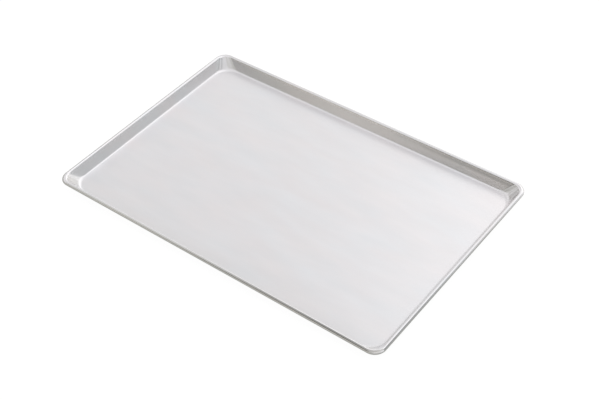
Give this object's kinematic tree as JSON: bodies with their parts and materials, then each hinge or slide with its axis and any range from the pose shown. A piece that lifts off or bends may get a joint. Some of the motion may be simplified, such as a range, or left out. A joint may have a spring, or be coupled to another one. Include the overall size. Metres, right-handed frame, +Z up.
{
  "type": "cookie sheet",
  "caption": "Flat rectangular baking tray with low flared walls, rounded corners and a round rolled rim over a wire.",
  "frame": {"origin": "middle of the underside, on the surface that the tray stands on", "axes": "+X along the long side, +Y along the short side, +Z up out of the tray"},
  "size_m": [0.6, 0.4, 0.02],
  "materials": {
    "aluminium_sheet": "satin rolled sheet, pressed, uncoated",
    "steel_wire": "drawn wire, zinc plated"
  },
  "bodies": {
    "root": {"pressed_pan": "aluminium_sheet", "rim_wire": "steel_wire"}
  },
  "joints": []
}
